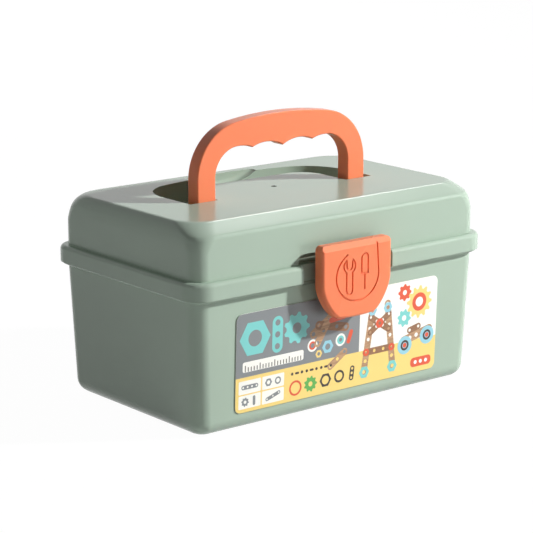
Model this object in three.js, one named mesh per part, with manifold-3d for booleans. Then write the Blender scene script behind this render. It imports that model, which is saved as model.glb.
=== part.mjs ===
// A child's carry box in moulded plastic: a tapered tub, a bevelled lid hinged at the back,
// a folding handle that lies down in a recess of the lid, and a snap latch at the front.
// Millimetres, +Z up, front towards -Y. The origin is the middle of the tub's underside.
import * as THREE from 'three';
import { mergeVertices } from 'three/addons/utils/BufferGeometryUtils.js';
import Module from 'manifold-3d';

const wasm = await Module();
wasm.setup();

// Rim band, the widest part, which the tub and the lid share
const rimLength = 220;
const rimDepth = 140.2;
const rimCornerRadius = 13.9;
const rimOverhang = 4.8;
const rimEdgeRadius = 2.4;
const rimBottomHeight = 78.2;
const tubFlangeHeight = 1.6;
const tubFlangeInset = 1;
const lidFlangeHeight = 9.8;
const partingGap = 0.3;

// Shells
const wall = 2;
const tubDraftInset = 2.85;
const tubEdgeRadius = 8.1;
const wallCornerRadius = 9.1;
const tubFootCornerRadius = 3;
const lidWallHeight = 24.3;
const lidBevelHeight = 6.2;
const lidBevelInsetY = 11.1;
const lidEndInset = 6;
const lidEndDrop = 12.5;
const lidBackInset = 8;
const lidBackDrop = 9;
const lidTopCornerRadius = 17;
const lidCornerRise = 15;
const lidEdgeFillet = 3.2;

// Locating lip on the tub's flange
const lipThickness = 2;
const lipHeight = 4.5;
const lipGap = 0.5;

// Handle: a U with a crowned grip and finger scallops
const handleHalfWidth = 62.8;
const handleLegWidth = 13;
const handleThickness = 9.6;
const handleRise = 46.2;
const handleCornerRadius = 32;
const handleCrownRadius = 230;
const handleInnerRadius = 17;
const handleEdge = 0.9;
const gripUndersideRise = 29.4;
const fingerRadius = 25;
const middleCuspDrop = 2.9;
const sideCuspDrop = 1.8;
const handlePivotDepth = 7;
const handlePivotY = -6.1;
const handleStopGap = 0.3;
const handleFloorGap = 0.4;

// Recess in the lid's top that takes the folded handle
const recessSideGap = 5.6;
const recessBackGap = 1;
const recessCornerRadius = 28;
const islandGap = 1.6;
const islandBackGap = 0.6;
const islandCornerRadius = 15;
const bossRadius = 4;
const bossGap = 0.4;

// Gate mark left by moulding on the island
const gateRadius = 1.7;
const gateDepth = 1.2;
const gateX = 2;
const gateY = 0.4;

// Finger bay behind the grip, a shallow trough with a rounded edge
const bayHalfWidth = 25.5;
const bayReach = 4.4;
const bayDepth = 7;
const bayCentreRise = 10;
const bayEdgeRadius = 3;

// Pins and their running clearance
const handlePinRadius = 1.7;
const latchPinRadius = 1.5;
const hingePinRadius = 1.5;
const pinClearance = 0.25;
const handlePinInset = 0.2;

// Latch: a hollow shield that hangs from two arms of the lid
const latchHalfWidth = 26;
const latchHeight = 43.9;
const latchDepth = 6.5;
const latchStandOff = 1.1;
const latchTopAboveRim = 11;
const latchWall = 1.8;
const latchFaceWall = 2;
const latchEdgeRadius = 2;
const latchCornerRadius = 3;
const latchSlopeHeight = 3.2;
const latchSlopeDepth = 1.8;
const latchAxisBehindFace = 5.5;
const latchAxisBelowTop = 5.5;
const latchLugRadius = 3;
const latchArmX = 13;
const latchArmWidth = 3;
const latchArmDrop = 1.4;
const latchArmHeight = 3.8;
const latchRibX = 18;
const latchRibWidth = 2.4;
const latchPinEndOver = 0.4;
const catchHalfWidth = 14;
const catchThickness = 2;
const catchBelowFlange = 0.4;
const catchGap = 0.8;

// Emblem engraved in the latch's face: a long curve round a spanner and a screwdriver
const emblemHalfWidth = 15.9;
const emblemHalfHeight = 14.6;
const emblemBelowTop = 19.6;
const grooveWidth = 1.1;
const grooveDepth = 0.8;

// Notch in the rim and pocket in the lid's wall behind the latch
const notchHalfWidth = 33.3;
const notchStepBack = 1;
const pocketRise = 5.7;
const pocketDepth = 3.3;
const pocketCornerRadius = 5.2;
const lipNotchMargin = 2.7;

// Rear hinges
const hingeX = 60;
const knuckleRadius = 4;
const knuckleGap = 0.4;
const lidKnuckleLength = 12;
const tubKnuckleLength = 8;
const knuckleSideGap = 0.4;
const hingeWebReach = 5.5;

// Printed label on the front wall
const labelWidth = 151.6;
const labelBelowRim = 10.2;
const labelBottom = 10.3;
const labelCentreX = -1.7;
const labelCornerRadius = 4;
const labelThickness = 0.3;
const labelGap = 0.25;

// One overrun for every cut
const over = 3;

// Facets
const cornerSteps = 6;
const filletSteps = 3;
const latchEdgeSteps = 5;
const endSteps = 9;
const ringGap = 0.12;
const roundSteps = 24;
const arcSegments = 14;

// Shares of the latch's half width and height that shape its lower end
const latchCurveShares = {
  sideEnd: [1, 0.467],
  sideHandle: [0.98, 0.32],
  cornerHandle: [0.73, 0.075],
  cornerEnd: [0.51, 0.014],
  bottomHandle: [0, -0.014],
};

// Share of the grip's half length, from its middle, where the outer two cusps stand
const sideCuspShare = 0.686;

// Shares of the emblem's half width and half height
const emblemShares = {
  curveTop: [0.9, 1.5],
  spannerHead: [-0.38, 0.42],
  spannerEnd: [-0.38, -0.55],
  driverTop: [0.34, 0.66],
  driverNeck: [0.34, 0.04],
  driverTip: [0.34, -0.62],
};
const spannerHeadRadiusShare = 0.27;
const spannerGripRadiusShare = 0.14;
const driverGripRadiusShare = 0.15;
const emblemCurveStart = 0.65 * Math.PI;
const spannerJawTurn = 0.16 * Math.PI;

// Heights and places that follow from the sizes above
const seamHeight = rimBottomHeight + tubFlangeHeight;
const lidBottom = seamHeight + partingGap;
const rimTop = lidBottom + lidFlangeHeight;
const bevelStart = rimTop + lidWallHeight;
const lidTop = bevelStart + lidBevelHeight;
const rimHalf = new THREE.Vector2(rimLength / 2, rimDepth / 2);
const wallHalf = rimHalf.clone().subScalar(rimOverhang);
const frontWallY = -wallHalf.y;
const rimFrontY = -rimHalf.y;
const handlePivotZ = lidTop - handlePivotDepth;
const legRadius = handleThickness / 2;
const handleInnerHalf = handleHalfWidth - handleLegWidth;
const recessHalf = handleHalfWidth + recessSideGap;
const recessFront = handlePivotY - legRadius - handleStopGap;
const recessBack = handlePivotY + handlePivotDepth + handleRise + recessBackGap;
const recessFloor = handlePivotZ - legRadius - handleFloorGap;
const islandHalf = handleInnerHalf - islandGap;
const gripCuspRise = gripUndersideRise - middleCuspDrop;
const islandBack = handlePivotY + handlePivotDepth + gripCuspRise - islandBackGap;
const latchFaceY = rimFrontY - latchStandOff - latchDepth;
const latchBackY = rimFrontY - latchStandOff;
const latchTop = rimTop + latchTopAboveRim;
const latchAxisY = latchFaceY + latchAxisBehindFace;
const latchAxisZ = latchTop - latchAxisBelowTop;
const notchY = frontWallY - notchStepBack;
const pocketBackY = frontWallY + pocketDepth;
const pocketTop = rimTop + pocketRise;
const labelHeight = rimBottomHeight - labelBelowRim - labelBottom;
const hingeY = rimHalf.y + knuckleRadius + knuckleGap;
const hingeZ = seamHeight + partingGap / 2;

// Turns a closed three.js geometry into a solid that can be joined and cut.
function solid(geometry) {
  const bare = new THREE.BufferGeometry();
  bare.setAttribute('position', geometry.getAttribute('position'));
  bare.setIndex(geometry.index);
  const merged = mergeVertices(bare);
  return new wasm.Manifold(new wasm.Mesh({
    numProp: 3,
    vertProperties: new Float32Array(merged.getAttribute('position').array),
    triVerts: new Uint32Array(merged.index.array),
  }));
}

// Turns a solid back into a named, coloured mesh.
function meshOf(name, body, material) {
  const { vertProperties, triVerts } = body.getMesh();
  const geometry = new THREE.BufferGeometry();
  geometry.setAttribute('position', new THREE.BufferAttribute(new Float32Array(vertProperties), 3));
  geometry.setIndex(new THREE.BufferAttribute(new Uint32Array(triVerts), 1));
  geometry.computeVertexNormals();
  const mesh = new THREE.Mesh(geometry, material);
  mesh.name = name;
  return mesh;
}

const joinAll = (bodies) => bodies.reduce((whole, body) => whole.add(body));
const cutAll = (body, cuts) => cuts.reduce((rest, cut) => rest.subtract(cut), body);

function box(x0, x1, y0, y1, z0, z1) {
  const geometry = new THREE.BoxGeometry(x1 - x0, y1 - y0, z1 - z0);
  geometry.translate((x0 + x1) / 2, (y0 + y1) / 2, (z0 + z1) / 2);
  return solid(geometry);
}

function rodX(radius, x0, x1, y, z) {
  const geometry = new THREE.CylinderGeometry(radius, radius, Math.abs(x1 - x0), roundSteps);
  geometry.rotateZ(Math.PI / 2);
  geometry.translate((x0 + x1) / 2, y, z);
  return solid(geometry);
}

// An outline in X and Y, raised from z0 to z1.
function raised(shape, z0, z1) {
  const geometry = new THREE.ExtrudeGeometry(shape, {
    depth: z1 - z0,
    bevelEnabled: false,
    curveSegments: arcSegments,
  });
  geometry.translate(0, 0, z0);
  return solid(geometry);
}

// An outline in X and Z, swept from y0 back to y1, with both edges rounded by edge.
function swept(shape, y0, y1, edge = 0, edgeSteps = filletSteps) {
  const geometry = new THREE.ExtrudeGeometry(shape, {
    depth: y1 - y0 - 2 * edge,
    bevelEnabled: edge > 0,
    bevelThickness: edge,
    bevelSize: edge,
    bevelOffset: -edge,
    bevelSegments: edgeSteps,
    curveSegments: arcSegments,
  });
  geometry.rotateX(Math.PI / 2);
  geometry.translate(0, y1 - edge, 0);
  return solid(geometry);
}

// One ring of points round a rectangle with rounded corners, its middle moved back by shift.
function ring({ half, radius, z, shift = 0 }) {
  const points = [];
  for (let corner = 0; corner < 4; corner += 1) {
    const start = corner * Math.PI / 2;
    const signX = corner === 0 || corner === 3 ? 1 : -1;
    const signY = corner < 2 ? 1 : -1;
    for (let step = 0; step <= cornerSteps; step += 1) {
      const angle = start + (step / cornerSteps) * (Math.PI / 2);
      points.push(new THREE.Vector3(
        signX * (half.x - radius) + radius * Math.cos(angle),
        shift + signY * (half.y - radius) + radius * Math.sin(angle),
        z,
      ));
    }
  }
  return points;
}

// A closed body through rings of rounded rectangles, listed from the bottom up.
function loft(sections) {
  const rings = sections.map(ring);
  const count = rings[0].length;
  const index = [];
  for (let level = 0; level + 1 < rings.length; level += 1) {
    for (let i = 0; i < count; i += 1) {
      const next = (i + 1) % count;
      const a = level * count + i;
      const b = level * count + next;
      index.push(a, b, b + count, a, b + count, a + count);
    }
  }
  const top = (rings.length - 1) * count;
  for (let i = 1; i + 1 < count; i += 1) {
    index.push(0, i + 1, i);
    index.push(top, top + i, top + i + 1);
  }
  const geometry = new THREE.BufferGeometry().setFromPoints(rings.flat());
  geometry.setIndex(index);
  return solid(geometry);
}

const shrunk = (half, inset) => half.clone().subScalar(inset);

// The outline of an arch in its own plane: straight legs, round corners and a crowned top.
function archShape(half, foot, top, corner, crown) {
  const shape = new THREE.Shape();
  archPath(shape, half, foot, top, corner, crown);
  shape.closePath();
  return shape;
}

function archPath(path, half, foot, top, corner, crown) {
  const crownCentre = top - crown;
  const across = half - corner;
  const rise = Math.sqrt((crown - corner) ** 2 - across ** 2);
  const lean = Math.atan2(rise, across);
  const cornerCentre = crownCentre + rise;
  path.moveTo(half, foot);
  path.lineTo(half, cornerCentre);
  path.absarc(across, cornerCentre, corner, 0, lean, false);
  path.absarc(0, crownCentre, crown, lean, Math.PI - lean, false);
  path.absarc(-across, cornerCentre, corner, Math.PI - lean, Math.PI, false);
  path.lineTo(-half, foot);
}

// Sweeps path clockwise over the top of a scallop, from its present point to the next one.
function scallopTo(path, from, to, radius) {
  const chord = to.clone().sub(from);
  const middle = from.clone().add(to).divideScalar(2);
  const sink = Math.sqrt(radius ** 2 - chord.lengthSq() / 4);
  const down = new THREE.Vector2(chord.y, -chord.x).normalize();
  const centre = middle.addScaledVector(down, sink);
  const start = from.clone().sub(centre).angle();
  const end = to.clone().sub(centre).angle();
  path.absarc(centre.x, centre.y, radius, start, end, true);
}

// The handle's outline in X and Z: outside up and over, then back along the finger scallops.
function handleShape() {
  const shape = new THREE.Shape();
  archPath(shape, handleHalfWidth, handlePivotZ, lidTop + handleRise, handleCornerRadius, handleCrownRadius);
  const underside = lidTop + gripUndersideRise;
  const cornerCentre = underside - handleInnerRadius;
  const cornerX = handleInnerHalf - handleInnerRadius;
  shape.lineTo(-handleInnerHalf, handlePivotZ);
  shape.lineTo(-handleInnerHalf, cornerCentre);
  shape.absarc(-cornerX, cornerCentre, handleInnerRadius, Math.PI, Math.PI / 2, true);
  const cusps = [
    new THREE.Vector2(-cornerX, underside),
    new THREE.Vector2(-cornerX * sideCuspShare, underside - sideCuspDrop),
    new THREE.Vector2(0, underside - middleCuspDrop),
    new THREE.Vector2(cornerX * sideCuspShare, underside - sideCuspDrop),
    new THREE.Vector2(cornerX, underside),
  ];
  for (let i = 0; i + 1 < cusps.length; i += 1) {
    scallopTo(shape, cusps[i], cusps[i + 1], fingerRadius);
  }
  shape.absarc(cornerX, cornerCentre, handleInnerRadius, Math.PI / 2, 0, true);
  shape.lineTo(handleInnerHalf, handlePivotZ);
  shape.closePath();
  return shape;
}

// The island of the lid's top that the folded handle goes round.
function islandShape(half, back, corner) {
  const shape = new THREE.Shape();
  const front = recessFront - over;
  shape.moveTo(-half, front);
  shape.lineTo(half, front);
  shape.lineTo(half, back - corner);
  shape.absarc(half - corner, back - corner, corner, 0, Math.PI / 2, false);
  shape.lineTo(corner - half, back);
  shape.absarc(corner - half, back - corner, corner, Math.PI / 2, Math.PI, false);
  shape.closePath();
  return shape;
}

// The latch's shield outline in X and Z, drawn in by inset.
function latchShape(inset) {
  const half = latchHalfWidth - inset;
  const height = latchHeight - 2 * inset;
  const bottom = latchTop - latchHeight + inset;
  const top = bottom + height;
  const corner = latchCornerRadius - inset / 2;
  const at = ([across, up], side) => [side * across * half, bottom + up * height];
  const { sideEnd, sideHandle, cornerHandle, cornerEnd, bottomHandle } = latchCurveShares;
  const shape = new THREE.Shape();
  shape.moveTo(...at(sideEnd, 1));
  shape.lineTo(half, top - corner);
  shape.absarc(half - corner, top - corner, corner, 0, Math.PI / 2, false);
  shape.lineTo(corner - half, top);
  shape.absarc(corner - half, top - corner, corner, Math.PI / 2, Math.PI, false);
  shape.lineTo(...at(sideEnd, -1));
  shape.bezierCurveTo(...at(sideHandle, -1), ...at(cornerHandle, -1), ...at(cornerEnd, -1));
  shape.quadraticCurveTo(...at(bottomHandle, 1), ...at(cornerEnd, 1));
  shape.bezierCurveTo(...at(cornerHandle, 1), ...at(sideHandle, 1), ...at(sideEnd, 1));
  shape.closePath();
  return shape;
}

function roundedShape(width, height, radius) {
  const x = width / 2 - radius;
  const y = height / 2 - radius;
  const shape = new THREE.Shape();
  shape.absarc(x, y, radius, 0, Math.PI / 2, false);
  shape.absarc(-x, y, radius, Math.PI / 2, Math.PI, false);
  shape.absarc(-x, -y, radius, Math.PI, 1.5 * Math.PI, false);
  shape.absarc(x, -y, radius, 1.5 * Math.PI, 2 * Math.PI, false);
  shape.closePath();
  return shape;
}

// The tub's wall at a height, measured to the outside less inset.
function tubSection(z, inset, edgeRadius) {
  const draft = tubDraftInset * (1 - z / rimBottomHeight);
  const lift = Math.max(0, edgeRadius + inset - z);
  const turn = edgeRadius - Math.sqrt(edgeRadius ** 2 - lift ** 2);
  return {
    half: shrunk(wallHalf, draft + inset + turn),
    radius: THREE.MathUtils.lerp(wallCornerRadius - inset, tubFootCornerRadius, turn / edgeRadius),
    z,
  };
}

// The tub's body from its underside to the rim, or the hollow inside it.
function tubBody(inset, topZ) {
  const edgeRadius = tubEdgeRadius - inset;
  const sections = [];
  for (let step = 0; step <= cornerSteps; step += 1) {
    const angle = (step / cornerSteps) * (Math.PI / 2);
    sections.push(tubSection(inset + edgeRadius * (1 - Math.cos(angle)), inset, edgeRadius));
  }
  const wallTop = tubSection(rimBottomHeight, inset, edgeRadius);
  sections.push(wallTop, { ...wallTop, z: topZ });
  return loft(sections);
}

// The tub's flange, rounded underneath and drawn in a little behind the lid's skirt.
function tubFlange() {
  const sections = [];
  for (let step = 0; step <= cornerSteps; step += 1) {
    const angle = (step / cornerSteps) * (Math.PI / 2);
    const inset = THREE.MathUtils.lerp(rimOverhang, tubFlangeInset, Math.sin(angle));
    sections.push({
      half: shrunk(rimHalf, inset),
      radius: rimCornerRadius - inset,
      z: rimBottomHeight + tubFlangeHeight * (1 - Math.cos(angle)),
    });
  }
  return loft(sections);
}

function bandRing(inset, z0, z1) {
  const section = { half: shrunk(rimHalf, inset), radius: rimCornerRadius - inset };
  return loft([{ ...section, z: z0 }, { ...section, z: z1 }]);
}

// The x ranges of one hinge's three knuckles: two of the tub and one of the lid.
function knuckles(side) {
  const centre = side * hingeX;
  const lidEnd = lidKnuckleLength / 2;
  const tubStart = lidEnd + knuckleSideGap;
  const tubEnd = tubStart + tubKnuckleLength;
  return {
    lid: [[centre - lidEnd, centre + lidEnd]],
    tub: [[centre - tubEnd, centre - tubStart], [centre + tubStart, centre + tubEnd]],
    pin: [centre - tubEnd, centre + tubEnd],
  };
}

const hingePinHole = ([x0, x1]) => rodX(hingePinRadius + pinClearance, x0 - over, x1 + over, hingeY, hingeZ);

function makeTub() {
  const lipOuter = wall + lipGap;
  const lip = bandRing(lipOuter, seamHeight - wall / 2, seamHeight + lipHeight)
    .subtract(bandRing(lipOuter + lipThickness, rimBottomHeight, seamHeight + lipHeight + over));
  const lipNotch = notchHalfWidth + lipNotchMargin;
  const parts = [
    tubBody(0, seamHeight),
    tubFlange(),
    lip.subtract(box(-lipNotch, lipNotch, rimFrontY - over, 0, seamHeight, lidTop)),
  ];
  const holes = [
    tubBody(wall, lidTop),
    box(-notchHalfWidth, notchHalfWidth, rimFrontY - over, notchY, rimBottomHeight - over, seamHeight + over),
  ];
  for (const side of [-1, 1]) {
    const hinge = knuckles(side);
    for (const [x0, x1] of hinge.tub) {
      parts.push(rodX(knuckleRadius, x0, x1, hingeY, hingeZ));
      parts.push(box(x0, x1, rimHalf.y - hingeWebReach, hingeY, hingeZ - knuckleRadius, seamHeight));
    }
    holes.push(hingePinHole(hinge.pin));
  }
  return cutAll(joinAll(parts), holes);
}

// Points of a profile given as inset and height, with its inner corners rounded.
function filleted(points, radius) {
  const result = [points[0]];
  for (let i = 1; i + 1 < points.length; i += 1) {
    const into = points[i - 1].clone().sub(points[i]).normalize();
    const out = points[i + 1].clone().sub(points[i]).normalize();
    const halfAngle = into.angleTo(out) / 2;
    const reach = radius / Math.tan(halfAngle);
    const toCentre = into.clone().add(out).normalize();
    const centre = points[i].clone().addScaledVector(toCentre, radius / Math.sin(halfAngle));
    const start = points[i].clone().addScaledVector(into, reach).sub(centre);
    const end = points[i].clone().addScaledVector(out, reach).sub(centre);
    for (let step = 0; step <= filletSteps; step += 1) {
      const blend = start.clone().lerp(end, step / filletSteps).setLength(radius);
      result.push(centre.clone().add(blend));
    }
  }
  result.push(points[points.length - 1]);
  return result;
}

// The inset of a profile at a height, between the profile's points.
function insetAt(profile, z) {
  const above = profile.findIndex((point) => point.y >= z);
  if (above < 1) return above < 0 ? profile[profile.length - 1].x : profile[0].x;
  const [low, high] = [profile[above - 1], profile[above]];
  return THREE.MathUtils.mapLinear(z, low.y, high.y, low.x, high.x);
}

// A quarter of an oval, as inset and height, from the upright wall over into the flat top.
function ovalEdge(reach, drop, inset) {
  const points = [];
  for (let step = 0; step <= endSteps; step += 1) {
    const angle = (step / endSteps) * (Math.PI / 2);
    points.push(new THREE.Vector2(
      reach - (reach - inset) * Math.cos(angle),
      lidTop - drop + (drop - inset) * Math.sin(angle),
    ));
  }
  return points;
}

// The lid above its rim, or the hollow inside it: bevelled along the front, rounded at the ends and the back.
function lidUpper(inset, bottom) {
  const slope = Math.atan2(lidBevelHeight, lidBevelInsetY);
  const start = new THREE.Vector2(inset, bottom);
  const edge = new THREE.Vector2(inset, bevelStart + inset * Math.tan(slope) - inset / Math.cos(slope));
  const top = new THREE.Vector2(lidBevelInsetY + inset * Math.tan(slope / 2), lidTop - inset);
  const middle = new THREE.Vector2(wallHalf.y, top.y);
  const front = filleted([start, edge, top, middle], lidEdgeFillet).slice(0, -1);
  const ends = [start, ...ovalEdge(lidEndInset, lidEndDrop, inset)];
  const back = [start, ...ovalEdge(lidBackInset, lidBackDrop, inset)];
  const cornerStart = lidTop - lidCornerRise;
  const levels = front.map((point) => point.y);
  for (const z of [...ends.map((point) => point.y), ...back.map((point) => point.y), cornerStart]) {
    if (levels.every((level) => Math.abs(level - z) > ringGap)) levels.push(z);
  }
  return loft(levels.sort((a, b) => a - b).map((z) => {
    const insetFront = insetAt(front, z);
    const insetBack = insetAt(back, z);
    const rise = Math.max(0, z - cornerStart) / lidCornerRise;
    return {
      half: new THREE.Vector2(wallHalf.x - insetAt(ends, z), wallHalf.y - (insetFront + insetBack) / 2),
      radius: THREE.MathUtils.lerp(wallCornerRadius, lidTopCornerRadius, rise) - inset,
      z,
      shift: (insetFront - insetBack) / 2,
    };
  }));
}

// The lid's flange, upright outside and rounded over at the top.
function lidFlange() {
  const outline = { half: rimHalf.clone(), radius: rimCornerRadius };
  const sections = [{ ...outline, z: lidBottom }];
  for (let step = 0; step <= cornerSteps; step += 1) {
    const angle = (step / cornerSteps) * (Math.PI / 2);
    const inset = rimEdgeRadius * (1 - Math.cos(angle));
    sections.push({
      half: shrunk(rimHalf, inset),
      radius: rimCornerRadius - inset,
      z: rimTop - rimEdgeRadius * (1 - Math.sin(angle)),
    });
  }
  return loft(sections);
}

// The finger bay behind the folded grip, part of an oval, grown by a wall thickness where asked.
function fingerBay(grow) {
  const drop = bayDepth + bayCentreRise;
  const shrink = Math.sqrt(1 - (bayCentreRise / drop) ** 2);
  const edge = bayEdgeRadius + grow;
  const shape = new THREE.Shape();
  shape.absellipse(0, lidTop + bayCentreRise, bayHalfWidth / shrink + grow, drop + grow, 0, 2 * Math.PI);
  return swept(shape, recessBack - 2 * edge, recessBack + bayReach + grow, edge);
}

// The U-shaped channel that the folded handle lies in, grown outwards for its walls.
function handleChannel(grow, z0, z1) {
  const outer = archShape(
    recessHalf + grow,
    recessFront - grow,
    recessBack + grow,
    recessCornerRadius + grow,
    handleCrownRadius + recessBackGap + grow,
  );
  const island = islandShape(islandHalf - grow, islandBack - grow, islandCornerRadius - grow);
  return raised(outer, z0, z1).subtract(raised(island, z0 - over, z1 + over));
}

// A boss in the channel's outer wall that keeps the handle's leg centred on its pin.
function handleBoss(side) {
  const inner = side * (handleHalfWidth + bossGap);
  const outer = side * (recessHalf + wall / 2);
  return rodX(bossRadius, inner, outer, handlePivotY, handlePivotZ);
}

// The arms on the lid that carry the latch's pin.
function latchArms() {
  const bodies = [];
  for (const side of [-1, 1]) {
    const x0 = side * latchArmX - latchArmWidth / 2;
    const x1 = side * latchArmX + latchArmWidth / 2;
    bodies.push(rodX(latchLugRadius, x0, x1, latchAxisY, latchAxisZ));
    const armTop = latchAxisZ - latchArmDrop;
    bodies.push(box(x0, x1, latchAxisY, pocketBackY + wall / 2, armTop - latchArmHeight, armTop));
  }
  return joinAll(bodies);
}

// The pocket's outline in X and Z, with its two upper corners rounded.
function pocketShape(grow) {
  const half = notchHalfWidth + grow;
  const top = pocketTop + grow;
  const corner = pocketCornerRadius + grow;
  const shape = new THREE.Shape();
  shape.moveTo(-half, rimTop - grow);
  shape.lineTo(half, rimTop - grow);
  shape.lineTo(half, top - corner);
  shape.absarc(half - corner, top - corner, corner, 0, Math.PI / 2, false);
  shape.lineTo(corner - half, top);
  shape.absarc(corner - half, top - corner, corner, Math.PI / 2, Math.PI, false);
  shape.closePath();
  return shape;
}

function makeLid() {
  const outside = lidFlange().add(lidUpper(0, rimTop - wall));
  const hollow = bandRing(wall, lidBottom - over, rimTop - wall).add(lidUpper(wall, rimTop - 2 * wall));
  const shell = outside.subtract(hollow);
  const tray = handleChannel(wall, recessFloor - wall, lidTop - wall / 2)
    .add(fingerBay(wall))
    .intersect(outside);
  const webX = notchHalfWidth + wall;
  const notchWall = box(-webX, webX, rimFrontY + wall / 2, frontWallY + wall, lidBottom, rimTop);
  const pocketWalls = swept(pocketShape(wall), frontWallY + wall / 2, pocketBackY + wall);
  const parts = [shell, tray, notchWall, pocketWalls];
  const armEnd = latchArmX + latchArmWidth;
  const holes = [rodX(latchPinRadius + pinClearance, -armEnd, armEnd, latchAxisY, latchAxisZ)];
  for (const side of [-1, 1]) {
    const hinge = knuckles(side);
    for (const [x0, x1] of hinge.lid) {
      parts.push(rodX(knuckleRadius, x0, x1, hingeY, hingeZ));
      parts.push(box(x0, x1, rimHalf.y - wall / 2, hingeY, lidBottom, hingeZ + knuckleRadius));
    }
    const near = side * (islandHalf - wall - over);
    const far = side * (recessHalf + wall + over);
    holes.push(hingePinHole(hinge.pin));
    holes.push(rodX(handlePinRadius + pinClearance, near, far, handlePivotY, handlePivotZ));
  }
  const gate = new THREE.Shape().absarc(gateX, gateY, gateRadius, 0, 2 * Math.PI, false);
  const cuts = [
    handleChannel(0, recessFloor, lidTop + over),
    fingerBay(0),
    raised(gate, lidTop - gateDepth, lidTop + over),
    box(-notchHalfWidth, notchHalfWidth, rimFrontY - over, notchY, lidBottom - over, rimTop),
    swept(pocketShape(0), rimFrontY - over, pocketBackY),
  ];
  const carved = joinAll([cutAll(joinAll(parts), cuts), handleBoss(-1), handleBoss(1), latchArms()]);
  return cutAll(carved, holes);
}

function makeHandle() {
  const front = handlePivotY - legRadius;
  const parts = [swept(handleShape(), front, front + handleThickness, handleEdge)];
  const holes = [];
  for (const side of [-1, 1]) {
    const inner = side * handleInnerHalf;
    const outer = side * handleHalfWidth;
    parts.push(rodX(legRadius, inner, outer, handlePivotY, handlePivotZ));
    holes.push(rodX(handlePinRadius + pinClearance, inner - side * over, outer + side * over, handlePivotY, handlePivotZ));
  }
  return cutAll(joinAll(parts), holes);
}

// An outline along a line of points, as wide as a groove.
function strip(points) {
  const sides = points.map((point, i) => {
    const before = points[Math.max(i - 1, 0)];
    const after = points[Math.min(i + 1, points.length - 1)];
    const along = after.clone().sub(before).setLength(grooveWidth / 2);
    return new THREE.Vector2(-along.y, along.x);
  });
  const left = points.map((point, i) => point.clone().add(sides[i]));
  const right = points.map((point, i) => point.clone().sub(sides[i]));
  return new THREE.Shape([...left, ...right.reverse()]);
}

// The point at an angle on a circle.
const onCircle = (centre, radius, angle) => new THREE.Vector2(
  centre.x + radius * Math.cos(angle),
  centre.y + radius * Math.sin(angle),
);

// A place on the latch's face, from shares of the emblem's half width and half height.
const emblemPoint = ([across, up]) => new THREE.Vector2(
  across * emblemHalfWidth,
  latchTop - emblemBelowTop + up * emblemHalfHeight,
);

// The long curve, which runs on up to the latch's top edge on the right.
function emblemCurve() {
  const centre = emblemPoint([0, 0]);
  const curveTop = emblemPoint(emblemShares.curveTop);
  const path = new THREE.Path();
  path.absellipse(centre.x, centre.y, emblemHalfWidth, emblemHalfHeight, emblemCurveStart, 2 * Math.PI);
  path.lineTo(curveTop.x, curveTop.y);
  return [path.getPoints(arcSegments)];
}

// An open-ended spanner: its outline, and the round mouth between the two tips of its jaw.
function emblemSpanner() {
  const head = emblemPoint(emblemShares.spannerHead);
  const end = emblemPoint(emblemShares.spannerEnd);
  const headRadius = spannerHeadRadiusShare * emblemHalfWidth;
  const gripRadius = spannerGripRadiusShare * emblemHalfWidth;
  const jawRight = Math.PI / 2 - spannerJawTurn;
  const jawLeft = Math.PI / 2 + spannerJawTurn;
  const neckTurn = Math.asin(gripRadius / headRadius);
  const outline = new THREE.Path();
  outline.absarc(head.x, head.y, headRadius, jawRight, neckTurn - Math.PI / 2, true);
  outline.absarc(end.x, end.y, gripRadius, 0, Math.PI, true);
  outline.absarc(head.x, head.y, headRadius, 1.5 * Math.PI - neckTurn, jawLeft, true);
  const tip = onCircle(head, headRadius, jawLeft);
  const mouthRadius = head.x - tip.x;
  const mouth = new THREE.Path();
  mouth.moveTo(tip.x, tip.y);
  mouth.lineTo(tip.x, head.y);
  mouth.absarc(head.x, head.y, mouthRadius, Math.PI, 2 * Math.PI, false);
  mouth.lineTo(head.x + mouthRadius, tip.y);
  return [outline.getPoints(arcSegments), mouth.getPoints(arcSegments)];
}

// A screwdriver: its round-topped grip, the collar under it, and the blade.
function emblemDriver() {
  const top = emblemPoint(emblemShares.driverTop);
  const neck = emblemPoint(emblemShares.driverNeck);
  const gripRadius = driverGripRadiusShare * emblemHalfWidth;
  const grip = new THREE.Path();
  grip.moveTo(neck.x + gripRadius, neck.y);
  grip.lineTo(top.x + gripRadius, top.y);
  grip.absarc(top.x, top.y, gripRadius, 0, Math.PI, false);
  grip.lineTo(neck.x - gripRadius, neck.y);
  const collarHalf = gripRadius + grooveWidth / 2;
  const collar = [onCircle(neck, collarHalf, Math.PI), onCircle(neck, collarHalf, 0)];
  const blade = [neck, emblemPoint(emblemShares.driverTip)];
  return [grip.getPoints(arcSegments), collar, blade];
}

function emblemCuts() {
  const lines = [...emblemCurve(), ...emblemSpanner(), ...emblemDriver()];
  return lines.map((line) => swept(strip(line), latchFaceY - over, latchFaceY + grooveDepth));
}

// What a sloping plane takes off the latch's upper front edge.
function latchSlopeCut() {
  const width = 2 * (latchHalfWidth + over);
  const geometry = new THREE.BoxGeometry(width, 2 * over, latchSlopeHeight + 2 * over);
  geometry.translate(0, -over, 0);
  geometry.rotateX(-Math.atan2(latchSlopeDepth, latchSlopeHeight));
  geometry.translate(0, latchFaceY + latchSlopeDepth / 2, latchTop - latchSlopeHeight / 2);
  return solid(geometry);
}

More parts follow.
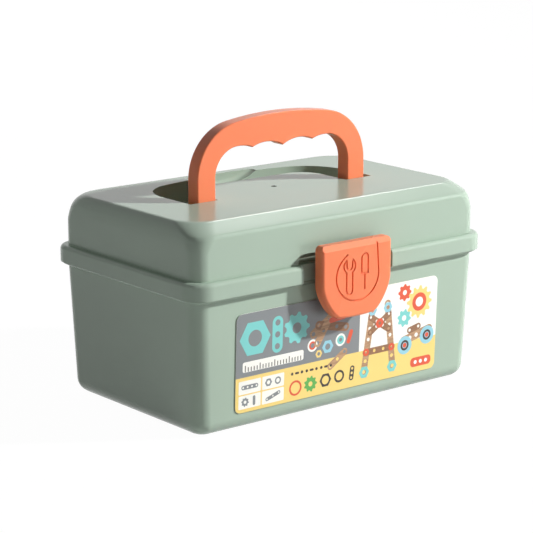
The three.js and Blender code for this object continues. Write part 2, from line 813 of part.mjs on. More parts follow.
function makeLatch() {
  const trim = box(-rimLength, rimLength, latchBackY, 0, 0, lidTop + handleRise);
  const outside = swept(latchShape(0), latchFaceY, latchBackY + over, latchEdgeRadius, latchEdgeSteps);
  const hollow = swept(latchShape(latchWall), latchFaceY + latchFaceWall, latchBackY + over);
  const parts = [cutAll(outside, [trim, latchSlopeCut(), hollow])];
  const faceInside = latchFaceY + latchFaceWall / 2;
  for (const side of [-1, 1]) {
    const x0 = side * latchRibX - latchRibWidth / 2;
    const x1 = side * latchRibX + latchRibWidth / 2;
    parts.push(rodX(latchLugRadius, x0, x1, latchAxisY, latchAxisZ));
    parts.push(box(
      x0,
      x1,
      faceInside,
      latchAxisY,
      latchAxisZ - latchLugRadius,
      latchAxisZ + latchLugRadius,
    ));
  }
  const catchTop = rimBottomHeight - catchBelowFlange;
  const catchTip = notchY - catchGap;
  parts.push(box(-catchHalfWidth, catchHalfWidth, faceInside, catchTip, catchTop - catchThickness, catchTop));
  const holeEnd = latchRibX + latchRibWidth;
  const pinHole = rodX(latchPinRadius + pinClearance, -holeEnd, holeEnd, latchAxisY, latchAxisZ);
  return cutAll(joinAll(parts), [pinHole, ...emblemCuts()]);
}

function plastic(colour, roughness) {
  return new THREE.MeshStandardMaterial({ color: new THREE.Color(colour), roughness, metalness: 0 });
}

const sage = plastic('#a9c1ae', 0.35);
const coral = plastic('#f2936b', 0.4);
const paper = plastic('#f3f2ea', 0.45);
const steel = new THREE.MeshStandardMaterial({ color: new THREE.Color('#b9bcbe'), roughness: 0.3, metalness: 1 });

// A pin along X, centred on the point that its group holds.
function pin(name, radius, length) {
  const geometry = new THREE.CylinderGeometry(radius, radius, length, roundSteps);
  const mesh = new THREE.Mesh(geometry, steel);
  mesh.name = name;
  mesh.rotation.z = Math.PI / 2;
  return mesh;
}

function label() {
  const geometry = new THREE.ExtrudeGeometry(
    roundedShape(labelWidth, labelHeight, labelCornerRadius),
    { depth: labelThickness, bevelEnabled: false, curveSegments: cornerSteps },
  );
  const mesh = new THREE.Mesh(geometry, paper);
  mesh.name = 'front_label';
  mesh.rotation.x = Math.PI / 2;
  mesh.position.set(0, -labelGap, labelHeight / 2);
  return mesh;
}

const toolBox = new THREE.Group();
toolBox.add(meshOf('tub', makeTub(), sage));

const labelPlace = new THREE.Group();
const wallLean = Math.atan2(tubDraftInset, rimBottomHeight);
const labelWallY = frontWallY + tubDraftInset * (1 - labelBottom / rimBottomHeight);
labelPlace.position.set(labelCentreX, labelWallY, labelBottom);
labelPlace.rotation.x = wallLean;
labelPlace.add(label());
toolBox.add(labelPlace);

const lidGroup = new THREE.Group();
lidGroup.add(meshOf('lid', makeLid(), sage));
lidGroup.add(meshOf('carry_handle', makeHandle(), coral));
lidGroup.add(meshOf('front_latch', makeLatch(), coral));
toolBox.add(lidGroup);

for (const [side, word] of [[-1, 'left'], [1, 'right']]) {
  const [hingeStart, hingeEnd] = knuckles(side).pin;
  const hingePlace = new THREE.Group();
  hingePlace.position.set(side * hingeX, hingeY, hingeZ);
  hingePlace.add(pin(`hinge_pin_${word}`, hingePinRadius, hingeEnd - hingeStart));
  toolBox.add(hingePlace);

  const pinStart = islandHalf - wall + handlePinInset;
  const pinEnd = recessHalf + wall - handlePinInset;
  const handlePlace = new THREE.Group();
  handlePlace.position.set(side * (pinStart + pinEnd) / 2, handlePivotY, handlePivotZ);
  handlePlace.add(pin(`handle_pin_${word}`, handlePinRadius, pinEnd - pinStart));
  lidGroup.add(handlePlace);
}

const latchPlace = new THREE.Group();
latchPlace.position.set(0, latchAxisY, latchAxisZ);
latchPlace.add(pin('latch_pin', latchPinRadius, 2 * latchRibX + latchRibWidth + latchPinEndOver));
lidGroup.add(latchPlace);

export default toolBox;
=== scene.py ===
"""A child's plastic carry box in sage green with a coral handle and latch, in a pale studio."""
from __future__ import annotations

import logging
import math
from dataclasses import dataclass, field
from enum import Enum

import bmesh
import bpy
from mathutils import Matrix, Vector


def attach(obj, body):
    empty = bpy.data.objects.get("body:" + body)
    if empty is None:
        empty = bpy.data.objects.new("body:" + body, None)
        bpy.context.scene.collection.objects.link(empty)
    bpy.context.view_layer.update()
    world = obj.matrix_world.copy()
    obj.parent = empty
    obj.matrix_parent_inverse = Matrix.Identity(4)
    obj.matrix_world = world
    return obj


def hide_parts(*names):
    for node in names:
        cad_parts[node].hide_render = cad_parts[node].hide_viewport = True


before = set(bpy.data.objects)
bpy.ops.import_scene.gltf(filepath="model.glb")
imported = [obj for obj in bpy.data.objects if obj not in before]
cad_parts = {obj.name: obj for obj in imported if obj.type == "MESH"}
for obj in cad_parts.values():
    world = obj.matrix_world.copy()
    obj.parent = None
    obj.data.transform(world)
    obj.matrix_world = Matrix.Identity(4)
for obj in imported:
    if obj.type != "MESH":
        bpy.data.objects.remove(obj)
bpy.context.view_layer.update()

LOG = logging.getLogger("carry_box")
MM = 0.001

TOP_CHANNEL = 255
TOE_END = 0.04045
TOE_SLOPE = 12.92
CURVE_OFFSET = 0.055
CURVE_POWER = 2.4

NOISE_LOW = 0.2
NOISE_HIGH = 0.8

ROUND_CORNERS = 28
HOLE_CORNERS = 16
NUT_CORNERS = 6
TOOTH_CORNERS = 4


class Body(Enum):
    """The moving groups of the box, by the names that the frame gives them."""

    BASE = "base"
    COVER = "cover"
    HANDLE = "handle"
    LATCH = "latch"


class Slot(Enum):
    """The record's material slots."""

    BOX = "box_plastic"
    HANDLE = "handle_plastic"
    LABEL = "label_print"
    PIN = "pin_steel"


class Tone(Enum):
    """Printing inks and plastic colours, as the sRGB values that they are seen in."""

    SAGE = (166, 184, 168)
    CORAL = (243, 136, 97)
    PAPER = (246, 245, 238)
    SLATE = (132, 136, 138)
    STRAW = (243, 213, 128)
    WOOD = (198, 160, 124)
    DARK_WOOD = (158, 118, 88)
    BARK = (112, 78, 56)
    TEAL = (126, 206, 202)
    RED = (222, 92, 62)
    INK = (62, 56, 52)
    SKY = (150, 204, 220)
    GREEN = (96, 172, 84)
    STEEL = (186, 188, 190)

    def linear(self) -> tuple[float, float, float, float]:
        """Gives the tone as the linear colour that a shader reads."""
        return (*(to_linear(channel / TOP_CHANNEL) for channel in self.value), 1.0)


def to_linear(channel: float) -> float:
    """Turns one sRGB channel into a linear one.

    Args:
        channel: The value as it is seen, from 0 to 1.

    Returns:
        The same value in linear light.
    """
    if channel <= TOE_END:
        return channel / TOE_SLOPE
    return ((channel + CURVE_OFFSET) / (1 + CURVE_OFFSET)) ** CURVE_POWER


class NodeTree:
    """The nodes of a material or of the world, wired with short calls."""

    def __init__(self, owner: bpy.types.Material | bpy.types.World) -> None:
        """Opens the nodes of their owner.

        Args:
            owner: The material or the world, with its nodes in use.
        """
        self.nodes = owner.node_tree.nodes
        self.links = owner.node_tree.links

    def add(self, kind: str, **settings: object) -> bpy.types.ShaderNode:
        """Adds a node and sets its properties.

        Args:
            kind: The node's type name.
            settings: Properties of the node, by name.

        Returns:
            The new node.
        """
        node = self.nodes.new(kind)
        for key, value in settings.items():
            setattr(node, key, value)
        return node

    def wire(self, source: bpy.types.NodeSocket, target: bpy.types.NodeSocket) -> None:
        """Joins an output socket to an input socket.

        Args:
            source: The output.
            target: The input.
        """
        self.links.new(source, target)

    def seen_directly(self) -> bpy.types.NodeSocket:
        """Tells the rays of the camera, of gloss and of glass from the rays that light the box.

        Returns:
            A socket that is 1 for the rays of camera, gloss and glass, and 0 for the rest.
        """
        rays = self.add("ShaderNodeLightPath")
        total = rays.outputs["Is Camera Ray"]
        for name in ("Is Glossy Ray", "Is Transmission Ray"):
            either = self.add("ShaderNodeMath", operation="MAXIMUM")
            self.wire(total, either.inputs[0])
            self.wire(rays.outputs[name], either.inputs[1])
            total = either.outputs["Value"]
        return total

    def noise(self, scale: float, detail: float, stretch: Vector | None = None) -> bpy.types.ShaderNode:
        """Adds a noise texture on the object's own coordinates.

        Args:
            scale: Noise cells for each metre.
            detail: Octaves of finer noise.
            stretch: Scale along each axis, for a grain with a direction.

        Returns:
            The noise node.
        """
        coordinates = self.add("ShaderNodeTexCoord")
        mapping = self.add("ShaderNodeMapping")
        if stretch is not None:
            mapping.inputs["Scale"].default_value = stretch
        noise = self.add("ShaderNodeTexNoise")
        noise.inputs["Scale"].default_value = scale
        noise.inputs["Detail"].default_value = detail
        self.wire(coordinates.outputs["Object"], mapping.inputs["Vector"])
        self.wire(mapping.outputs["Vector"], noise.inputs["Vector"])
        return noise

    def ramp(self, source: bpy.types.NodeSocket, low: float, high: float) -> bpy.types.NodeSocket:
        """Maps a noise onto a narrow range, from the span that holds most of its values.

        Args:
            source: The noise, from 0 to 1.
            low: What its dark end becomes.
            high: What its bright end becomes.

        Returns:
            The socket with the mapped value.
        """
        node = self.add("ShaderNodeMapRange", interpolation_type="SMOOTHERSTEP")
        node.inputs["From Min"].default_value = NOISE_LOW
        node.inputs["From Max"].default_value = NOISE_HIGH
        node.inputs["To Min"].default_value = low
        node.inputs["To Max"].default_value = high
        self.wire(source, node.inputs["Value"])
        return node.outputs["Result"]


@dataclass(frozen=True)
class PaintedGatePitShade:
    """Painted shade: a dark spot painted into the pit where the plastic ran into the mould, standing in
    for the shade that falls in that pit.

    Its level is the share of the colour that is left in it.
    """

    place: tuple[float, float, float] = (2.0 * MM, 0.4 * MM, 120.3 * MM)
    radius: float = 1.9 * MM
    blur: float = 0.2 * MM
    level: float = 0.12


class Surface(NodeTree):
    """A material's nodes, with its shader and its output."""

    def __init__(self, name: str) -> None:
        """Starts a new material.

        Args:
            name: The material's name.
        """
        self.material = bpy.data.materials.new(name)
        self.material.use_nodes = True
        super().__init__(self.material)
        self.shader = self.nodes["Principled BSDF"]
        self.output = self.nodes["Material Output"]

    def shade(
        self,
        colour: tuple[float, ...],
        source: bpy.types.NodeSocket,
        depth: float,
        mark: PaintedGatePitShade | None = None,
    ) -> None:
        """Varies the base colour by a little darker and lighter patches.

        Args:
            colour: The linear colour.
            source: The noise that places the patches.
            depth: How far the value moves to each side, as a share.
            mark: The painted shade in the gate's pit, on a piece that has one.
        """
        value = self.add("ShaderNodeHueSaturation")
        value.inputs["Color"].default_value = colour
        level = self.ramp(source, 1 - depth, 1 + depth)
        # Paints shade into the lid's gate pit, where the piece has one.
        if mark is not None:
            level = self.paint_pit_shade(level, mark)
        self.wire(level, value.inputs["Value"])
        self.wire(value.outputs["Color"], self.shader.inputs["Base Color"])

    def paint_pit_shade(self, level: bpy.types.NodeSocket, mark: PaintedGatePitShade) -> bpy.types.NodeSocket:
        """Paints shade into the gate's pit by lowering the colour's level there.

        Args:
            level: The level that the rest of the surface has.
            mark: The painted pit shade.

        Returns:
            The socket with the lowered level.
        """
        coordinates = self.add("ShaderNodeTexCoord")
        distance = self.add("ShaderNodeVectorMath", operation="DISTANCE")
        distance.inputs[1].default_value = mark.place
        self.wire(coordinates.outputs["Object"], distance.inputs[0])
        # Painted shade: the level falls to the mark's level inside the pit's radius.
        edge = self.add("ShaderNodeMapRange")
        edge.inputs["From Min"].default_value = mark.radius - mark.blur
        edge.inputs["From Max"].default_value = mark.radius
        edge.inputs["To Min"].default_value = mark.level
        edge.inputs["To Max"].default_value = 1.0
        self.wire(distance.outputs["Value"], edge.inputs["Value"])
        product = self.add("ShaderNodeMath", operation="MULTIPLY")
        self.wire(level, product.inputs[0])
        self.wire(edge.outputs["Result"], product.inputs[1])
        return product.outputs["Value"]

    def bump(self, layers: list[tuple[bpy.types.NodeSocket, float]]) -> None:
        """Stacks bumps on the surface, each with its own height.

        Args:
            layers: Pairs of a height texture and its depth in metres.
        """
        normal = None
        for height, depth in layers:
            node = self.add("ShaderNodeBump")
            node.inputs["Strength"].default_value = 1.0
            node.inputs["Distance"].default_value = depth
            self.wire(height, node.inputs["Height"])
            if normal is not None:
                self.wire(normal, node.inputs["Normal"])
            normal = node.outputs["Normal"]
        self.wire(normal, self.shader.inputs["Normal"])


@dataclass(frozen=True)
class MouldedPlastic:
    """Half-gloss moulded plastic, with slow ripples and a fine grain from the mould.

    Scales are cells for each metre and depths are metres. Glow is the share of light that passes
    through under the surface, and reflected tints what the surface mirrors.
    """

    name: str
    tone: Tone
    roughness: float = 0.25
    roughness_drift: float = 0.02
    refraction: float = 1.36
    coat: float = 0.08
    coat_roughness: float = 0.12
    depth_of_tone: float = 0.015
    drift_detail: float = 1
    ripple_scale: float = 12
    ripple_detail: float = 0
    ripple_depth: float = 0.06 * MM
    grain_scale: float = 1500
    grain_detail: float = 2
    grain_depth: float = 0.003 * MM
    glow: float = 0.0
    glow_depth: float = 3 * MM
    glow_spread: tuple[float, float, float] = (1.0, 0.25, 0.12)
    reflected: tuple[float, float, float] = (1.0, 1.0, 1.0)
    # Painted shade in the lid's gate pit, on a plastic that has one.
    mark: PaintedGatePitShade | None = None

    def material(self) -> bpy.types.Material:
        """Builds the material.

        Returns:
            The finished material.
        """
        tree = Surface(self.name)
        drift = tree.noise(self.ripple_scale, self.drift_detail)
        ripple = tree.noise(self.ripple_scale, self.ripple_detail)
        grain = tree.noise(self.grain_scale, self.grain_detail)
        tree.shade(self.tone.linear(), drift.outputs["Fac"], self.depth_of_tone, self.mark)
        low = self.roughness - self.roughness_drift
        high = self.roughness + self.roughness_drift
        tree.wire(tree.ramp(drift.outputs["Fac"], low, high), tree.shader.inputs["Roughness"])
        tree.bump([
            (ripple.outputs["Fac"], self.ripple_depth),
            (grain.outputs["Fac"], self.grain_depth),
        ])
        tree.shader.inputs["IOR"].default_value = self.refraction
        tree.shader.inputs["Specular Tint"].default_value = (*self.reflected, 1.0)
        tree.shader.inputs["Coat Weight"].default_value = self.coat
        tree.shader.inputs["Coat Roughness"].default_value = self.coat_roughness
        if self.glow > 0:
            tree.shader.inputs["Subsurface Weight"].default_value = self.glow
            tree.shader.inputs["Subsurface Scale"].default_value = self.glow_depth
            tree.shader.inputs["Subsurface Radius"].default_value = self.glow_spread
        return tree.material


@dataclass(frozen=True)
class PrintedInk:
    """Ink printed on film: an even tone with the faint screen of the print, under a satin varnish."""

    name: str
    tone: Tone
    roughness: float = 0.36
    varnish: float = 0.15
    varnish_roughness: float = 0.2
    screen_scale: float = 2600
    screen_detail: float = 1
    screen_depth: float = 0.02
    grain_depth: float = 0.0015 * MM

    def material(self) -> bpy.types.Material:
        """Builds the material.

        Returns:
            The finished material.
        """
        tree = Surface(self.name)
        screen = tree.noise(self.screen_scale, self.screen_detail)
        tree.shade(self.tone.linear(), screen.outputs["Fac"], self.screen_depth)
        tree.bump([(screen.outputs["Fac"], self.grain_depth)])
        tree.shader.inputs["Roughness"].default_value = self.roughness
        tree.shader.inputs["Coat Weight"].default_value = self.varnish
        tree.shader.inputs["Coat Roughness"].default_value = self.varnish_roughness
        return tree.material


@dataclass(frozen=True)
class PrintedWood:
    """Wood shown in print: ink with a drawn grain that runs from side to side of the label."""

    name: str
    tone: Tone
    grain_tone: Tone
    grain_scale: float = 160
    grain_detail: float = 4
    grain_share: float = 0.5
    grain_stretch: tuple[float, float, float] = (1.0, 1.0, 7.0)
    roughness: float = 0.36

    def material(self) -> bpy.types.Material:
        """Builds the material.

        Returns:
            The finished material.
        """
        tree = Surface(self.name)
        grain = tree.noise(self.grain_scale, self.grain_detail, Vector(self.grain_stretch))
        mix = tree.add("ShaderNodeMix", data_type="RGBA")
        mix.inputs["A"].default_value = self.tone.linear()
        mix.inputs["B"].default_value = self.grain_tone.linear()
        tree.wire(tree.ramp(grain.outputs["Fac"], 0.0, self.grain_share), mix.inputs["Factor"])
        tree.wire(mix.outputs["Result"], tree.shader.inputs["Base Color"])
        tree.shader.inputs["Roughness"].default_value = self.roughness
        return tree.material


@dataclass(frozen=True)
class DrawnSteel:
    """Plain drawn steel wire, with fine lines along it."""

    name: str
    tone: Tone
    roughness: float = 0.28
    line_scale: float = 3000
    line_detail: float = 2
    line_stretch: tuple[float, float, float] = (0.05, 1.0, 1.0)
    line_depth: float = 0.002 * MM
    depth_of_tone: float = 0.06

    def material(self) -> bpy.types.Material:
        """Builds the material.

        Returns:
            The finished material.
        """
        tree = Surface(self.name)
        lines = tree.noise(self.line_scale, self.line_detail, Vector(self.line_stretch))
        tree.shade(self.tone.linear(), lines.outputs["Fac"], self.depth_of_tone)
        tree.bump([(lines.outputs["Fac"], self.line_depth)])
        tree.shader.inputs["Metallic"].default_value = 1.0
        tree.shader.inputs["Roughness"].default_value = self.roughness
        return tree.material


@dataclass(frozen=True)
class Finishes:
    """The finishes of the moulded pieces and the pins, each built once.

    The pit-shaded plastic is the lid's, with painted shade in the pit of the mould's gate.
    """

    sage: bpy.types.Material
    sage_pit_shaded: bpy.types.Material
    coral: bpy.types.Material
    steel: bpy.types.Material

    @staticmethod
    def build() -> Finishes:
        """Builds the plastics and the steel.

        Returns:
            The finishes.
        """
        return Finishes(
            sage=MouldedPlastic("sage_plastic", Tone.SAGE).material(),
            # The lid's plastic, with painted shade in its gate pit.
            sage_pit_shaded=MouldedPlastic("sage_lid_plastic", Tone.SAGE, mark=PaintedGatePitShade()).material(),
            coral=MouldedPlastic(
                "coral_plastic",
                Tone.CORAL,
                roughness=0.28,
                refraction=1.3,
                glow=0.2,
                reflected=(1.0, 0.6, 0.45),
            ).material(),
            steel=DrawnSteel("pin_steel", Tone.STEEL).material(),
        )


def dress(
    piece: bpy.types.Object,
    body: Body,
    material: bpy.types.Material,
) -> bpy.types.Object:
    """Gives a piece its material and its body.

    Args:
        piece: The finished piece.
        body: The group that it moves with.
        material: The material of all its faces.

    Returns:
        The same piece.
    """
    piece.data.materials.clear()
    piece.data.materials.append(material)
    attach(piece, body.value)
    LOG.info("%s rides on %s with %d faces", piece.name, body.value, len(piece.data.polygons))
    return piece


def to_object(name: str, mesh: bmesh.types.BMesh) -> bpy.types.Object:
    """Turns a bmesh into an object of the scene and frees it.

    Args:
        name: The piece's name.
        mesh: Its geometry, in metres and in place.

    Returns:
        The new object.
    """
    data = bpy.data.meshes.new(name)
    mesh.to_mesh(data)
    mesh.free()
    piece = bpy.data.objects.new(name, data)
    bpy.context.scene.collection.objects.link(piece)
    return piece


@dataclass
class Moulding:
    """A moulded piece: the frame's solid with the small radii that a mould leaves on its edges."""

    name: str
    node: str
    body: Body
    edge_radius: float
    edge_segments: int = 3
    sharp_angle: float = math.radians(32)
    flat_angle: float = math.radians(0.3)
    weld: float = 0.002 * MM
    normal_weight: int = 80

    def build(self, material: bpy.types.Material, slot: Slot) -> bpy.types.Object:
        """Makes the piece in place of its solid.

        Args:
            material: The plastic.
            slot: Not used.

        Returns:
            The finished piece.
        """
        mesh = bmesh.new()
        mesh.from_mesh(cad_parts[self.node].data)
        bmesh.ops.remove_doubles(mesh, verts=mesh.verts[:], dist=self.weld)
        bmesh.ops.dissolve_limit(
            mesh,
            angle_limit=self.flat_angle,
            verts=mesh.verts[:],
            edges=mesh.edges[:],
        )
        self.round_edges(mesh)
        for face in mesh.faces:
            face.smooth = True
        piece = to_object(self.name, mesh)
        weighting = piece.modifiers.new("weighting", "WEIGHTED_NORMAL")
        weighting.weight = self.normal_weight
        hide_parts(self.node)
        return dress(piece, self.body, material)

    def round_edges(self, mesh: bmesh.types.BMesh) -> None:
        """Rounds every sharp edge of the solid.

        Args:
            mesh: The merged solid.
        """
        sharp = [
            edge for edge in mesh.edges
            if edge.is_manifold and edge.calc_face_angle() > self.sharp_angle
        ]
        bmesh.ops.bevel(
            mesh,
            geom=sharp,
            offset=self.edge_radius,
            offset_type="OFFSET",
            segments=self.edge_segments,
            affect="EDGES",
            profile=0.5,
            clamp_overlap=True,
            material=-1,
        )


@dataclass
class Shells:
    """The four moulded pieces, each with the radius of its edges."""

    box_radius: float = 0.5 * MM
    handle_radius: float = 0.3 * MM
    latch_radius: float = 0.15 * MM
    latch_sharp_angle: float = math.radians(25)

    def build(self, finishes: Finishes) -> None:
        """Makes the tub, the lid, the handle and the latch.

        Args:
            finishes: The plastics.
        """
        tub = Moulding("tub_shell", "tub", Body.BASE, self.box_radius)
        tub.build(finishes.sage, Slot.BOX)
        lid = Moulding("lid_shell", "lid", Body.COVER, self.box_radius)
        lid.build(finishes.sage_pit_shaded, Slot.BOX)
        handle = Moulding("handle_grip", "carry_handle", Body.HANDLE, self.handle_radius)
        handle.build(finishes.coral, Slot.HANDLE)
        latch = Moulding(
            "latch_shell",
            "front_latch",
            Body.LATCH,
            self.latch_radius,
            sharp_angle=self.latch_sharp_angle,
        )
        latch.build(finishes.coral, Slot.HANDLE)


@dataclass
class Pins:
    """The steel pins, with the small chamfer of cut wire at their ends."""

    nodes: dict[str, Body] = field(default_factory=lambda: {
        "hinge_pin_left": Body.BASE,
        "hinge_pin_right": Body.BASE,
        "handle_pin_left": Body.COVER,
        "handle_pin_right": Body.COVER,
        "latch_pin": Body.COVER,
    })
    chamfer: float = 0.3 * MM
    chamfer_segments: int = 2

    def build(self, steel: bpy.types.Material) -> None:
        """Makes every pin.

        Args:
            steel: The pins' material.
        """
        for node, body in self.nodes.items():
            wire = Moulding(f"{node}_wire", node, body, self.chamfer, self.chamfer_segments)
            wire.build(steel, Slot.PIN)


@dataclass(frozen=True)
class Spot:
    """A place on the label, in millimetres from its centre, with a turn in degrees."""

    across: float
    up: float
    turn: float = 0.0

    def matrix(self) -> Matrix:
        """Gives the place as a matrix in metres."""
        shift = Matrix.Translation((self.across * MM, self.up * MM, 0.0))
        return shift @ Matrix.Rotation(math.radians(self.turn), 4, "Z")


def row(first: Spot, step: float, count: int) -> list[Spot]:
    """Lists places side by side.

    Args:
        first: The place at the left end.
        step: The distance from one to the next, in millimetres.
        count: How many there are.

    Returns:
        The places, from left to right.
    """
    return [Spot(first.across + number * step, first.up, first.turn) for number in range(count)]


class Pen:
    """Draws closed outlines and fills them as thin plates of ink."""

    def __init__(self, film_overlap: float) -> None:
        """Starts an empty drawing.

        Args:
            film_overlap: How far the plates sink into the film, in metres.
        """
        self.mesh = bmesh.new()
        self.outline: list[bmesh.types.BMEdge] = []
        self.film_overlap = film_overlap

    def circle(
        self,
        spot: Spot,
        radius: float,
        corners: int = ROUND_CORNERS,
    ) -> list[bmesh.types.BMVert]:
        """Adds a round or regular outline.

        Args:
            spot: Its centre and turn.
            radius: Its radius in millimetres.
            corners: How many corners it has.

        Returns:
            The corners.
        """
        turn = Matrix.Rotation(math.pi / corners, 4, "Z")
        ring = bmesh.ops.create_circle(
            self.mesh,
            segments=corners,
            radius=radius * MM,
            matrix=spot.matrix() @ turn,
        )["verts"]
        # A dict keeps the edges in the ring's order, so that each run fills them alike.
        self.outline.extend(dict.fromkeys(edge for corner in ring for edge in corner.link_edges))
        return ring

    def stretch(self, corners: list[bmesh.types.BMVert], spot: Spot, reach: float) -> None:
        """Pulls the two halves of an outline apart along the spot's own direction.

        Args:
            corners: The outline's corners.
            spot: Its centre and turn.
            reach: How far each half moves, in millimetres.
        """
        back = spot.matrix().inverted()
        along = spot.matrix().to_3x3() @ Vector((reach * MM, 0.0, 0.0))
        for corner in corners:
            corner.co += along if (back @ corner.co).x > 0 else -along

    def fill(self, height: float) -> None:
        """Fills what was outlined since the last fill and gives it its height.

        Args:
            height: How far the ink stands above the film, in metres.
        """
        filled = bmesh.ops.triangle_fill(
            self.mesh,
            use_beauty=True,
            edges=self.outline,
            normal=(0.0, 0.0, 1.0),
        )
        faces = [item for item in filled["geom"] if isinstance(item, bmesh.types.BMFace)]
        self.thicken(faces, height)
        self.outline = []

    def thicken(self, faces: list[bmesh.types.BMFace], height: float) -> None:
        """Turns flat faces into a closed plate, in the same order in each run.

        Args:
            faces: The flat faces, at the film's front.
            height: How far the ink stands above the film, in metres.
        """
        rim = [edge for face in faces for edge in face.edges if edge.is_boundary]
        under = {}
        for corner in dict.fromkeys(corner for face in faces for corner in face.verts):
            under[corner] = self.mesh.verts.new(corner.co - Vector((0.0, 0.0, self.film_overlap)))
            corner.co.z += height
        for face in faces:
            self.mesh.faces.new([under[corner] for corner in reversed(face.verts)])
        for first, second in (edge.verts for edge in rim):
            self.mesh.faces.new([first, second, under[second], under[first]])


@dataclass(frozen=True)
class Disc:
    """A round of ink, open in the middle where it has a bore, with its radii in millimetres."""

    spot: Spot
    radius: float
    bore: float = 0.0

    def draw(self, pen: Pen) -> None:
        """Draws the outline.

        Args:
            pen: What draws it.
        """
        pen.circle(self.spot, self.radius)
        if self.bore > 0:
            pen.circle(self.spot, self.bore)


@dataclass(frozen=True)
class Nut:
    """A hexagon nut seen from above, with its radii in millimetres."""

    spot: Spot
    radius: float
    bore: float

    def draw(self, pen: Pen) -> None:
        """Draws the outline.

        Args:
            pen: What draws it.
        """
        pen.circle(self.spot, self.radius, NUT_CORNERS)
        pen.circle(self.spot, self.bore)


@dataclass(frozen=True)
class Bar:
    """A strip with round ends and a row of holes, its length and width in millimetres."""

    spot: Spot
    length: float
    width: float
    holes: int = 0
    hole_share: float = 0.24

    def draw(self, pen: Pen) -> None:
        """Draws the outline.

        Args:
            pen: What draws it.
        """
        reach = (self.length - self.width) / 2
        ends = pen.circle(self.spot, self.width / 2)
        pen.stretch(ends, self.spot, reach)
        turn = math.radians(self.spot.turn)
        for number in range(self.holes):
            along = reach * (2 * number / (self.holes - 1) - 1)
            across = self.spot.across + along * math.cos(turn)
            up = self.spot.up + along * math.sin(turn)
            pen.circle(Spot(across, up), self.width * self.hole_share, HOLE_CORNERS)


@dataclass(frozen=True)
class Gear:
    """A toothed wheel seen from the side, with its radii in millimetres."""

    spot: Spot
    radius: float
    teeth: int
    bore: float
    tooth_share: float = 0.8

    def draw(self, pen: Pen) -> None:
        """Draws the outline.

        Args:
            pen: What draws it.
        """
        rim = pen.circle(self.spot, self.radius, self.teeth * TOOTH_CORNERS)
        centre = self.spot.matrix().translation
        for number, corner in enumerate(rim):
            if number % TOOTH_CORNERS < TOOTH_CORNERS / 2:
                corner.co = centre + (corner.co - centre) * self.tooth_share
        pen.circle(self.spot, self.bore)


@dataclass(frozen=True)
class Panel:
    """An upright rectangle of ink with round corners, in millimetres from the label's centre.

    It keeps only what lies left of, right of, below or above the lines that are given.
    """

    left: float
    right: float
    low: float
    high: float
    corner: float
    keep_left: float = math.inf
    keep_right: float = -math.inf
    keep_below: float = math.inf
    keep_above: float = -math.inf
    corner_segments: int = 6

    def draw(self, pen: Pen) -> None:
        """Draws the outline.

        Args:
            pen: What draws it.
        """
        sheet = bmesh.new()
        across = (self.left + self.right) / 2 * MM
        up = (self.low + self.high) / 2 * MM
        width = (self.right - self.left) * MM
        height = (self.high - self.low) * MM
        place = Matrix.Translation((across, up, 0.0)) @ Matrix.Diagonal((width, height, 1.0, 1.0))
        bmesh.ops.create_grid(sheet, x_segments=1, y_segments=1, size=0.5, matrix=place)
        bmesh.ops.bevel(
            sheet,
            geom=sheet.verts[:],
            offset=self.corner * MM,
            offset_type="OFFSET",
            segments=self.corner_segments,
            affect="VERTICES",
            profile=0.5,
            material=-1,
        )
        cuts = (
            (self.keep_left, (1.0, 0.0, 0.0)),
            (self.keep_right, (-1.0, 0.0, 0.0)),
            (self.keep_below, (0.0, 1.0, 0.0)),
            (self.keep_above, (0.0, -1.0, 0.0)),
        )
        for limit, outwards in cuts:
            if math.isinf(limit):
                continue
            # The point lies on the line, whether that runs up or across.
            bmesh.ops.bisect_plane(
                sheet,
                geom=sheet.verts[:] + sheet.edges[:] + sheet.faces[:],
                plane_co=(limit * MM, limit * MM, 0.0),
                plane_no=outwards,
                clear_outer=True,
            )
        corners = {corner: pen.mesh.verts.new(corner.co) for corner in sheet.verts}
        for edge in sheet.edges:
            if edge.is_boundary:
                pen.outline.append(pen.mesh.edges.new([corners[corner] for corner in edge.verts]))
        sheet.free()


Mark = Disc | Nut | Bar | Gear | Panel


@dataclass(frozen=True)
class Print:
    """One mark of the print: its ink, its layer counted from the film up, and its shape."""

    tone: Tone
    layer: int
    mark: Mark


@dataclass(frozen=True)
class Ruler:
    """A short ruler with its scale along the lower edge, in millimetres from the label's centre."""

    left: float = -71.0
    right: float = -27.0
    low: float = -5.4
    high: float = 0.6
    corner: float = 1.2
    first_tick: float = -69.1
    tick_step: float = 2.11
    ticks: int = 20
    tick_half_width: float = 0.3
    tick_corner: float = 0.1
    tick_low: float = -5.2
    short_tick_high: float = -2.6
    long_tick_high: float = -1.4
    ticks_to_a_long_one: int = 5

    def prints(self) -> list[Print]:
        """Lists the strip and its ticks.

        Returns:
            The marks.
        """
        strip = Panel(self.left, self.right, self.low, self.high, self.corner)
        marks = [Print(Tone.PAPER, 2, strip)]
        places = row(Spot(self.first_tick, self.tick_low), self.tick_step, self.ticks)
        for number, place in enumerate(places):
            high = self.short_tick_high if number % self.ticks_to_a_long_one else self.long_tick_high
            left = place.across - self.tick_half_width
            right = place.across + self.tick_half_width
            tick = Panel(left, right, self.tick_low, high, self.tick_corner)
            marks.append(Print(Tone.INK, 3, tick))
        return marks


@dataclass(frozen=True)
class PartsList:
    """Four white cards in two rows, in millimetres from the label's centre."""

    columns: tuple[float, float] = (-65.6, -48.8)
    rows: tuple[float, float] = (-14.2, -22.8)
    half_width: float = 7.9
    half_height: float = 3.9
    corner: float = 0.6

    def prints(self) -> list[Print]:
        """Lists the cards.

        Returns:
            The marks.
        """
        marks = []
        for across in self.columns:
            for up in self.rows:
                left = across - self.half_width
                right = across + self.half_width
                card = Panel(left, right, up - self.half_height, up + self.half_height, self.corner)
                marks.append(Print(Tone.PAPER, 2, card))
        return marks


